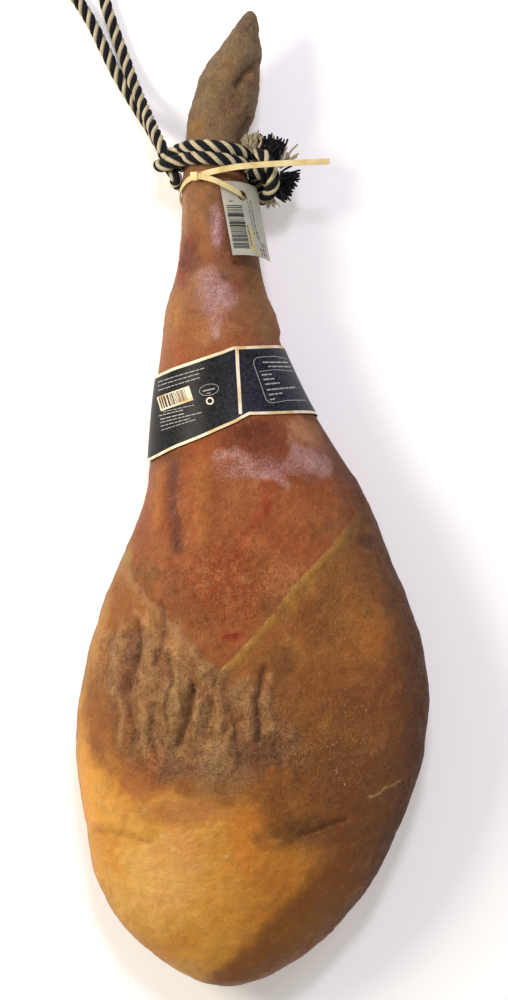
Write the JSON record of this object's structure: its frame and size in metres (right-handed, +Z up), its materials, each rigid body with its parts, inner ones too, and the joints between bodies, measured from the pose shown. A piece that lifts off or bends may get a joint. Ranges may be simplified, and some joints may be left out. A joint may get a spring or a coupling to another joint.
{
  "type": "cured ham",
  "caption": "Whole dry-cured bone-in ham lying on its outer side, with a V-trimmed rind, a two-colour rope hitched round the ankle, a tied card tag and a printed card band.",
  "frame": {"origin": "on the resting surface, under the middle of the ham's bounding box, rope left out", "axes": "+Z up from the surface; +Y from the butt towards the foot end; +X to the right as the trimmed side is looked at from above"},
  "size_m": [0.3168, 0.8668, 0.1301],
  "materials": {
    "cured_skin": "dry-cured rind and fat, waxy and slightly greasy",
    "black_card": "varnished black card with a pale printed border",
    "nylon": "yellowed natural nylon, satin",
    "white_card": "matt white card, printed",
    "cotton_rope": "soft twisted cotton in near-black and cream"
  },
  "bodies": {
    "root": {"ham": "cured_skin", "label_band": "black_card", "cable_tie": "nylon", "hang_tag": "white_card", "rope_collar": "cotton_rope", "rope_loop": "cotton_rope", "rope_knot": "cotton_rope", "rope_end_upper": "cotton_rope", "rope_end_lower": "cotton_rope"}
  },
  "joints": []
}
